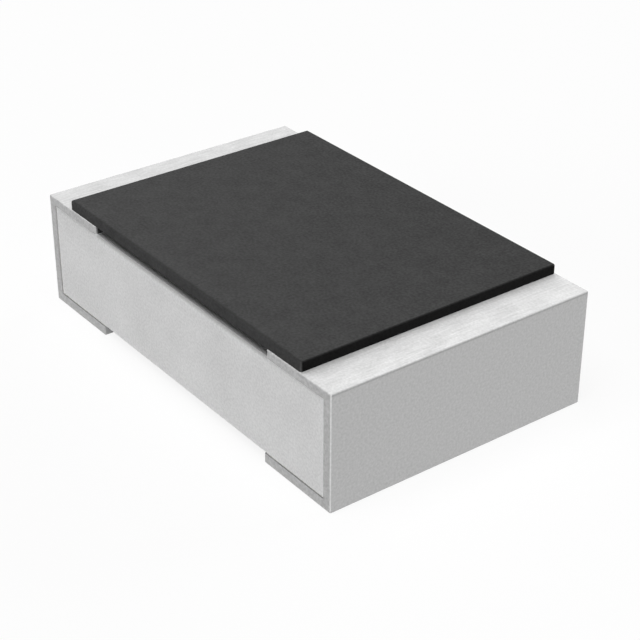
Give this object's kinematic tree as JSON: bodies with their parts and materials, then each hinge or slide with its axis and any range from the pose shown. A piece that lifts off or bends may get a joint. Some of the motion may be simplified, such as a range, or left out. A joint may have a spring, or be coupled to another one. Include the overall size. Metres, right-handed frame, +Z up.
{
  "type": "chip resistor",
  "caption": "Surface-mount chip resistor: a pale ceramic plate with a flat black coat on top and wrap-round tinned terminations at the ends.",
  "frame": {"origin": "Centre of the chip's length and width, on the seating plane under the terminations.", "axes": "+X along the length to the right termination, +Y across the width, +Z up through the black coat."},
  "size_m": [0.002, 0.0012, 0.0006],
  "materials": {
    "alumina": "sintered, fine matte grain",
    "resistive_film": "fired thick film, dull",
    "passivation_glass": "fired glass, smooth",
    "black_epoxy": "cured, satin matte",
    "silver_palladium": "fired metal print, dull",
    "silver_dip": "silver-filled dip, dull",
    "nickel": "plated, satin",
    "matte_tin": "plated, matte"
  },
  "bodies": {
    "root": {"ceramic_substrate": "alumina", "resistive_film": "resistive_film", "glass_passivation": "passivation_glass", "epoxy_overcoat": "black_epoxy", "left_top_electrode": "silver_palladium", "right_top_electrode": "silver_palladium", "left_bottom_electrode": "silver_palladium", "right_bottom_electrode": "silver_palladium", "left_edge_electrode": "silver_dip", "right_edge_electrode": "silver_dip", "left_nickel_barrier": "nickel", "right_nickel_barrier": "nickel", "left_tin_plating": "matte_tin", "right_tin_plating": "matte_tin"}
  },
  "joints": []
}
